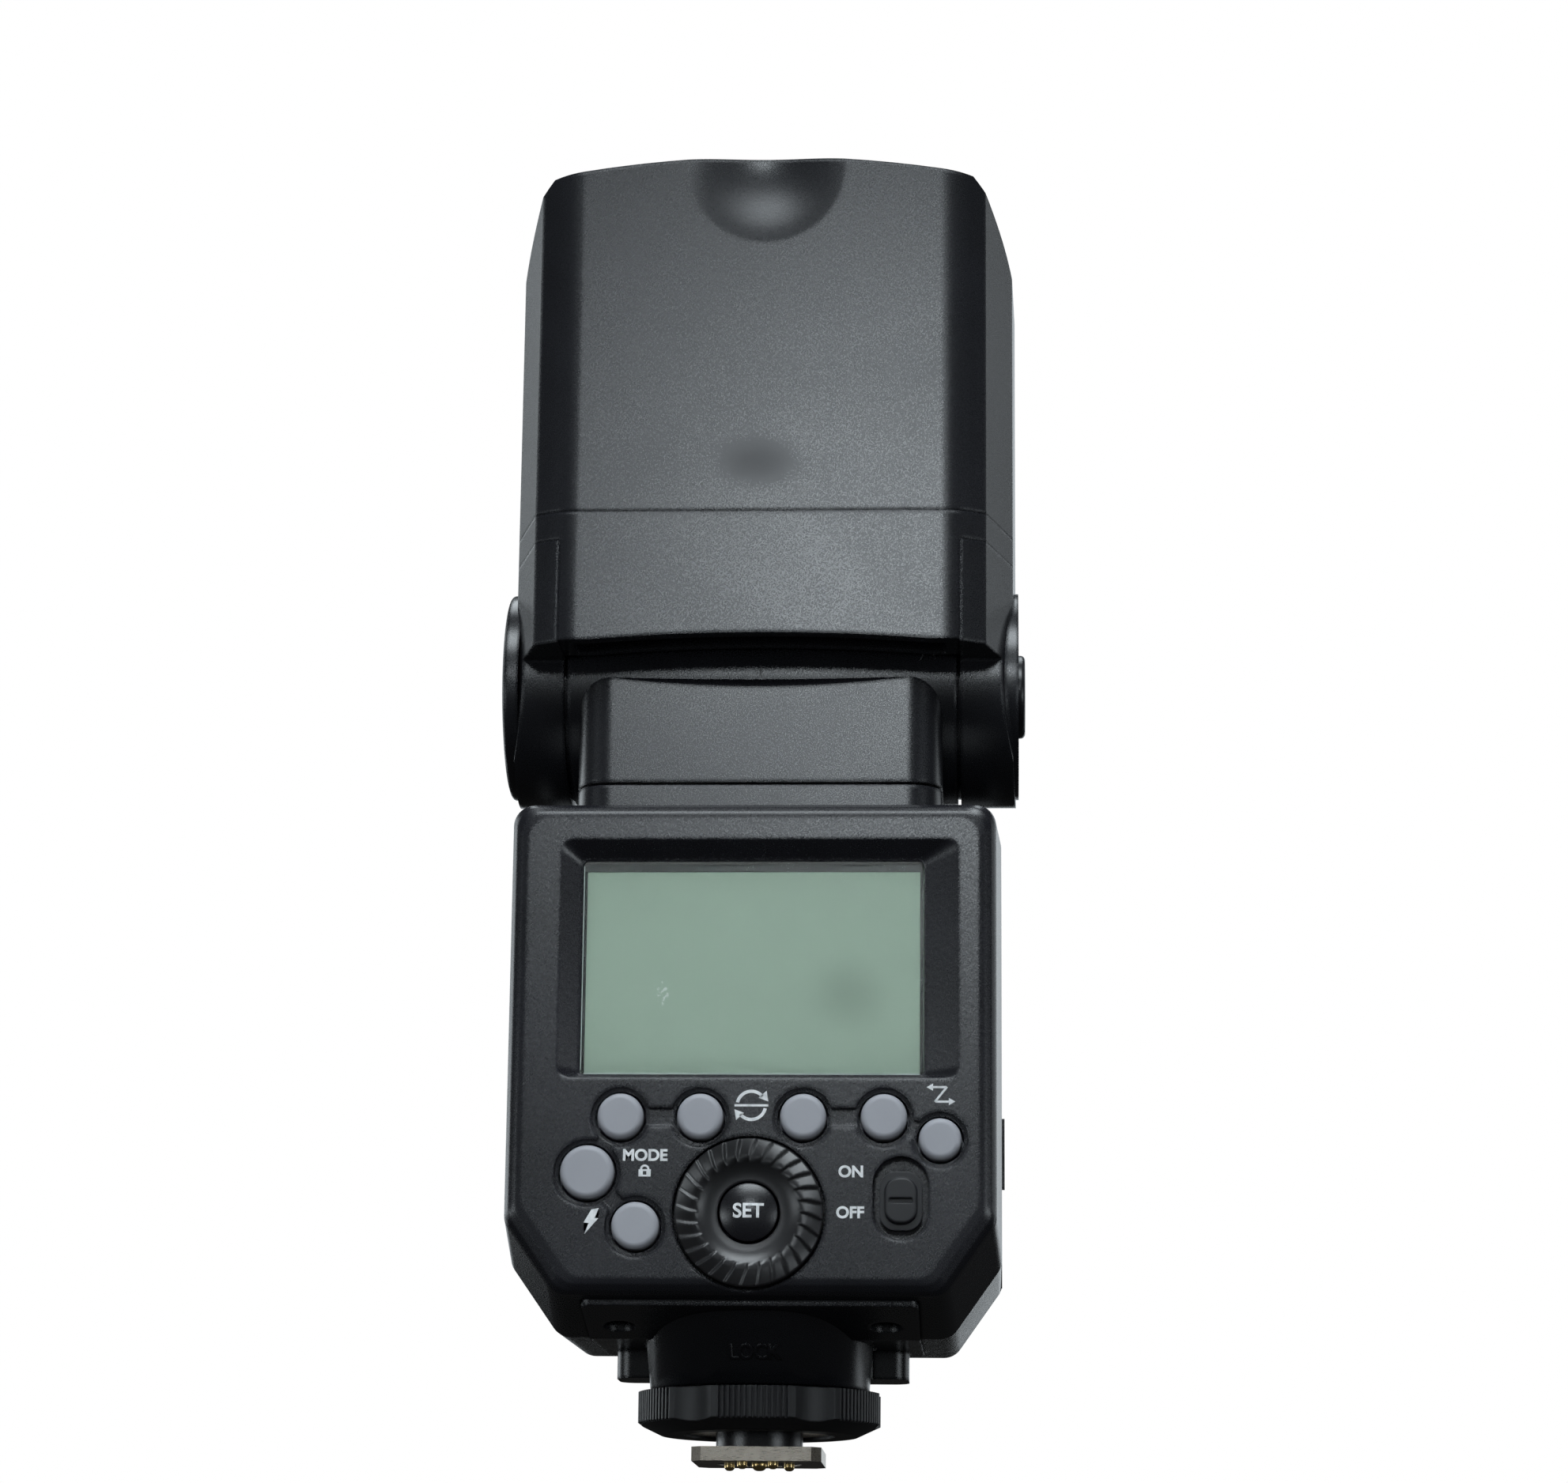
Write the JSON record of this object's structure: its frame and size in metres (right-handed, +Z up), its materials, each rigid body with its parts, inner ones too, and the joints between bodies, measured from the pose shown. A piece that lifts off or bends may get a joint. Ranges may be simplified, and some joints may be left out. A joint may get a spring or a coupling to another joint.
{
  "type": "hot-shoe flash",
  "caption": "Hot-shoe flash with a rear display, round keys, a control dial, a clamping foot and a head that swivels and tilts.",
  "frame": {"origin": "centre of the underside of the foot plate", "axes": "+Z up from the foot to the top of the raised head; -Y is the way the display faces; +X is to the right seen from the display side"},
  "size_m": [0.0767, 0.0634, 0.1902],
  "materials": {
    "body_plastic": "fine leather-like grain",
    "head_plastic": "fine matte grain",
    "black_satin": "satin",
    "key_rubber": "matte, domed",
    "port_rubber": "matte",
    "window": "clear gloss",
    "lcd": "sage green, dull",
    "board": "lacquered",
    "capacitor_sleeve": "shrink sleeve",
    "nickel": "satin nickel",
    "gold": "bright plated",
    "red_window": "dark red gloss",
    "lens": "fine ribs",
    "mirror_metal": "bright",
    "tube_glass": "clear",
    "white_card": "satin white"
  },
  "bodies": {
    "body": {"rear_cover": "body_plastic", "front_cover": "body_plastic", "base_plate": "head_plastic", "base_screws": "nickel", "foot_collar": "head_plastic", "foot_stem": "black_satin", "foot_plate": "nickel", "contact_block": "black_satin", "lcd_window": "window", "lcd_panel": "lcd", "main_board": "board", "key_mat": "key_rubber", "main_capacitor": "capacitor_sleeve", "battery_bay": "black_satin", "sync_jack": "gold", "data_socket": "black_satin", "focus_window": "red_window", "swivel_bearing": "black_satin"},
    "ring": {"lock_ring": "black_satin"},
    "clamp": {"clamp_washer": "nickel", "lock_pin": "nickel"},
    "dial": {"dial": "black_satin"},
    "set_key": {"set_key": "black_satin"},
    "power_switch": {"power_switch": "black_satin"},
    "battery": {"battery_pack": "black_satin", "battery_cap": "body_plastic"},
    "battery_latch": {"battery_latch": "black_satin"},
    "port_cover": {"port_cover": "port_rubber"},
    "neck": {"turntable": "head_plastic", "neck_block": "head_plastic", "tilt_drum": "head_plastic", "tilt_axle": "nickel"},
    "head": {"head_shell": "head_plastic", "head_collar": "head_plastic", "cheek_left": "head_plastic", "cheek_right": "head_plastic", "pivot_cap": "head_plastic", "fresnel_lens": "lens", "head_floor": "black_satin", "zoom_motor": "black_satin"},
    "tilt_button": {"tilt_button": "black_satin"},
    "zoom_screw": {"lead_screw": "nickel"},
    "zoom": {"zoom_carriage": "black_satin", "reflector": "mirror_metal", "flash_tube": "tube_glass"},
    "wide_panel": {"wide_panel": "lens"},
    "bounce_card": {"bounce_card": "white_card"},
    "pin_centre": {"pin_centre": "gold"},
    "pin_rear_left": {"pin_rear_left": "gold"},
    "pin_rear_right": {"pin_rear_right": "gold"},
    "pin_side_left": {"pin_side_left": "gold"},
    "pin_side_right": {"pin_side_right": "gold"},
    "key_lamp": {"key_lamp": "key_rubber"},
    "key_sync": {"key_sync": "key_rubber"},
    "key_plus": {"key_plus": "key_rubber"},
    "key_group": {"key_group": "key_rubber"},
    "key_wireless": {"key_wireless": "key_rubber"},
    "key_mode": {"key_mode": "key_rubber"},
    "key_test": {"key_test": "key_rubber"}
  },
  "joints": [
    {"name": "head_swivel", "type": "hinge", "parent": "body", "child": "neck", "pos_m": [0, 0, 0.0905], "axis": [0, 0, 1], "range_deg": [-180, 150]},
    {"name": "head_tilt", "type": "hinge", "parent": "neck", "child": "head", "pos_m": [0, 0, 0.1135], "axis": [-1, 0, 0], "range_deg": [0, 97]},
    {"name": "tilt_button_press", "type": "slide", "parent": "head", "child": "tilt_button", "axis": [-1, 0, 0], "range_m": [0, 0.0013], "stiffness_N_per_m": 800},
    {"name": "lock_ring_turn", "type": "hinge", "parent": "body", "child": "ring", "pos_m": [0, 0, 0.007], "axis": [0, 0, -1], "range_deg": [0, 60]},
    {"name": "clamp_drop", "type": "slide", "parent": "body", "child": "clamp", "axis": [0, 0, -1], "range_m": [0, 0.0014]},
    {"name": "pin_centre_push", "type": "slide", "parent": "body", "child": "pin_centre", "axis": [0, 0, 1], "range_m": [0, 0.0008], "stiffness_N_per_m": 600},
    {"name": "pin_rear_left_push", "type": "slide", "parent": "body", "child": "pin_rear_left", "axis": [0, 0, 1], "range_m": [0, 0.0008], "stiffness_N_per_m": 600},
    {"name": "pin_rear_right_push", "type": "slide", "parent": "body", "child": "pin_rear_right", "axis": [0, 0, 1], "range_m": [0, 0.0008], "stiffness_N_per_m": 600},
    {"name": "pin_side_left_push", "type": "slide", "parent": "body", "child": "pin_side_left", "axis": [0, 0, 1], "range_m": [0, 0.0008], "stiffness_N_per_m": 600},
    {"name": "pin_side_right_push", "type": "slide", "parent": "body", "child": "pin_side_right", "axis": [0, 0, 1], "range_m": [0, 0.0008], "stiffness_N_per_m": 600},
    {"name": "key_lamp_press", "type": "slide", "parent": "body", "child": "key_lamp", "axis": [0, 1, 0], "range_m": [0, 0.0006], "stiffness_N_per_m": 1500},
    {"name": "key_sync_press", "type": "slide", "parent": "body", "child": "key_sync", "axis": [0, 1, 0], "range_m": [0, 0.0006], "stiffness_N_per_m": 1500},
    {"name": "key_plus_press", "type": "slide", "parent": "body", "child": "key_plus", "axis": [0, 1, 0], "range_m": [0, 0.0006], "stiffness_N_per_m": 1500},
    {"name": "key_group_press", "type": "slide", "parent": "body", "child": "key_group", "axis": [0, 1, 0], "range_m": [0, 0.0006], "stiffness_N_per_m": 1500},
    {"name": "key_wireless_press", "type": "slide", "parent": "body", "child": "key_wireless", "axis": [0, 1, 0], "range_m": [0, 0.0006], "stiffness_N_per_m": 1500},
    {"name": "key_mode_press", "type": "slide", "parent": "body", "child": "key_mode", "axis": [0, 1, 0], "range_m": [0, 0.0006], "stiffness_N_per_m": 1500},
    {"name": "key_test_press", "type": "slide", "parent": "body", "child": "key_test", "axis": [0, 1, 0], "range_m": [0, 0.0006], "stiffness_N_per_m": 1500},
    {"name": "set_key_press", "type": "slide", "parent": "body", "child": "set_key", "axis": [0, 1, 0], "range_m": [0, 0.0006], "stiffness_N_per_m": 1500},
    {"name": "dial_turn", "type": "hinge", "parent": "body", "child": "dial", "pos_m": [0, -0.032, 0.0324], "axis": [0, 1, 0], "continuous": true},
    {"name": "power_slide", "type": "slide", "parent": "body", "child": "power_switch", "axis": [0, 0, 1], "range_m": [0, 0.0016]},
    {"name": "battery_slide", "type": "slide", "parent": "body", "child": "battery", "axis": [1, 0, 0], "range_m": [0, 0.06]},
    {"name": "battery_latch_slide", "type": "slide", "parent": "battery", "child": "battery_latch", "axis": [0, 1, 0], "range_m": [0, 0.0026], "stiffness_N_per_m": 300},
    {"name": "port_cover_swing", "type": "hinge", "parent": "body", "child": "port_cover", "pos_m": [-0.0349, 0.009, 0.055], "axis": [0, 0, -1], "range_deg": [0, 120]},
    {"name": "zoom_screw_turn", "type": "hinge", "parent": "head", "child": "zoom_screw", "pos_m": [0.027, 0.004, 0.1415], "axis": [0, 0, 1], "range_deg": [0, 960]},
    {"name": "zoom_travel", "type": "slide", "parent": "head", "child": "zoom", "axis": [0, 0, 1], "range_m": [0, 0.016]},
    {"name": "wide_panel_slide", "type": "slide", "parent": "head", "child": "wide_panel", "axis": [0, 0, 1], "range_m": [0, 0.036]},
    {"name": "bounce_card_slide", "type": "slide", "parent": "head", "child": "bounce_card", "axis": [0, 0, 1], "range_m": [0, 0.036]}
  ],
  "couplings": [
    {"joint": "clamp_drop", "follows": "lock_ring_turn", "m_per_rad": 0.0013369},
    {"joint": "zoom_screw_turn", "follows": "zoom_travel", "rad_per_m": 1047.2}
  ]
}
